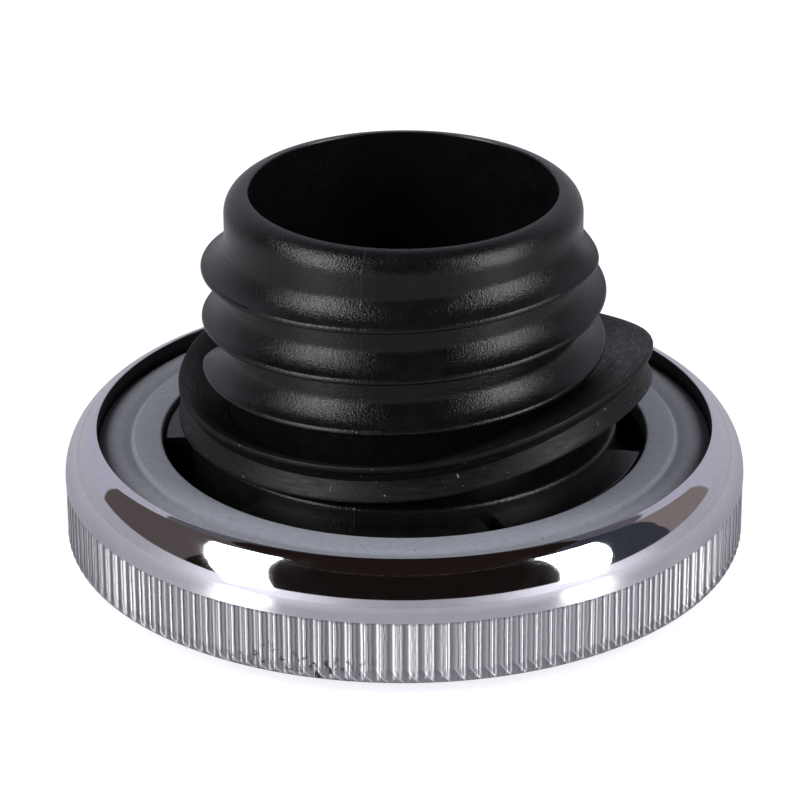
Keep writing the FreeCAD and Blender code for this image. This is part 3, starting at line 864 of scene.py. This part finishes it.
def emitter(name, colour):
    """Even glow of a panel of the room."""
    material = bpy.data.materials.new(name)
    material.use_nodes = True
    tree = material.node_tree
    tree.nodes.clear()
    glow = tree.nodes.new("ShaderNodeEmission")
    glow.inputs["Color"].default_value = (*colour, 1.0)
    glow.inputs["Strength"].default_value = 1.0
    out = tree.nodes.new("ShaderNodeOutputMaterial")
    tree.links.new(glow.outputs[0], out.inputs["Surface"])
    return material


def direction(azimuth, elevation):
    """Unit vector towards a place in the room."""
    a = math.radians(azimuth)
    e = math.radians(elevation)
    return Vector((math.sin(a) * math.cos(e), -math.cos(a) * math.cos(e), math.sin(e)))


def room_patch(name, foot, head, elevations, material):
    """Patch of the room from the azimuths of its foot to those of its head."""
    verts = []
    for share in np.linspace(0.0, 1.0, ROOM_ROWS + 1):
        elevation = elevations[0] + (elevations[1] - elevations[0]) * share
        left, right = (low + (high - low) * share for low, high in zip(foot, head))
        for azimuth in np.linspace(left, right, ROOM_COLUMNS + 1):
            verts.append(direction(azimuth, elevation) * ROOM_RADIUS)
    faces = grid_faces(ROOM_ROWS + 1, ROOM_COLUMNS + 1, closed=False)
    patch = stage_mesh(name, verts, faces, material)
    patch.visible_camera = False
    patch.visible_shadow = False


def room_side(name, near, far, material):
    """Tiers of a side of the room between two edges, given at each level."""
    for i, tier in enumerate(TIERS[:len(near) - 1]):
        foot = (near[i], far[i])
        head = (near[i + 1], far[i + 1])
        room_patch(f"{name}_{tier}", foot, head, TIER_LEVELS[i:i + 2], material)


def strip_box(name, low, high, distance, width, power):
    """Long area lamp that leans over the cap from one direction to another."""
    foot = direction(*low)
    head = direction(*high)
    back = (foot + head).normalized()
    along = (head - foot).normalized()
    matrix = Matrix((along.cross(back), along, back)).transposed().to_4x4()
    lamp = bpy.data.lights.new(name, "AREA")
    lamp.shape = "RECTANGLE"
    lamp.size = width
    lamp.size_y = 2 * distance * math.tan(foot.angle(head) / 2)
    lamp.energy = power
    obj = bpy.data.objects.new(name, lamp)
    bpy.context.scene.collection.objects.link(obj)
    obj.matrix_world = Matrix.Translation(back * distance) @ matrix


floor_verts = [(x * FLOOR_HALF, y * FLOOR_HALF, 0.0) for x, y in ((-1, -1), (1, -1), (1, 1), (-1, 1))]
stage_mesh("floor", floor_verts, [(0, 1, 2, 3)], floor_material())

near_black = emitter("near_black", (0.010, 0.007, 0.006))
warm_grey = emitter("warm_grey", (0.105, 0.085, 0.083))
cool_black = emitter("cool_black", (0.040, 0.043, 0.060))
warm_panel = emitter("warm_panel", (0.24, 0.20, 0.195))
pale_sweep = emitter("pale_sweep", (0.50, 0.485, 0.58))
dim_back = emitter("dim_back", (0.12, 0.115, 0.13))
brown_black = emitter("brown_black", (0.016, 0.010, 0.009))
left_round = [edge + 360.0 for edge in LEFT_FAR]
room_patch("low_wall", WHOLE_TURN, WHOLE_TURN, (0.0, TIER_LEVELS[0]), wall_material())
room_patch("dark_front", FRONT, FRONT, (TIER_LEVELS[0], TIER_LEVELS[-1]), near_black)
room_side("left", LEFT_FAR, [FRONT[0]] * len(LEFT_FAR), warm_grey)
room_side("right", [FRONT[1]] * len(RIGHT_FAR), RIGHT_FAR, cool_black)
room_side("panel", RIGHT_FAR[:3], PANEL_FAR, warm_panel)
room_side("back", PANEL_FAR, left_round[:3], pale_sweep)
back_foot = (RIGHT_FAR[2], left_round[2])
back_head = (RIGHT_FAR[3], left_round[3])
room_patch("back_top", back_foot, back_head, TIER_LEVELS[2:], dim_back)
room_patch("ceiling", WHOLE_TURN, WHOLE_TURN, (TIER_LEVELS[-1], ZENITH), brown_black)

strip_box("left_strip", (-49.0, 8.0), (-86.0, 59.0), distance=0.75, width=0.25, power=6.3)
strip_box("right_strip", (57.0, 8.0), (80.0, 56.0), distance=0.75, width=0.23, power=5.1)

scene = bpy.context.scene
scene.view_settings.view_transform = "Standard"
world = bpy.data.worlds.new("white_world")
scene.world = world
world.use_nodes = True
world.node_tree.nodes["Background"].inputs["Color"].default_value = (1.0, 1.0, 1.0, 1.0)
world.node_tree.nodes["Background"].inputs["Strength"].default_value = 1.0

# Camera at the photograph's viewing angle
CAMERA_DISTANCE = 0.500
CAMERA_ELEVATION = 24.88
CAMERA_ROLL = -0.24
CAMERA_TARGET = (-0.0005, 0.0, 0.01816)
CAMERA_NEAR = 0.01
FOCAL_PIXELS = 4152.0
IMAGE_PIXELS = 800.0
SENSOR_MM = 36.0

camera_data = bpy.data.cameras.new("photo_camera")
camera_data.sensor_width = SENSOR_MM
camera_data.lens = FOCAL_PIXELS * SENSOR_MM / IMAGE_PIXELS
camera_data.clip_start = CAMERA_NEAR
camera = bpy.data.objects.new("photo_camera", camera_data)
scene.collection.objects.link(camera)
away = direction(0.0, CAMERA_ELEVATION)
turn = (-away).to_track_quat("-Z", "Y").to_matrix().to_4x4()
roll = Matrix.Rotation(math.radians(CAMERA_ROLL), 4, "Z")
camera.matrix_world = Matrix.Translation(Vector(CAMERA_TARGET) + away * CAMERA_DISTANCE) @ turn @ roll
scene.camera = camera
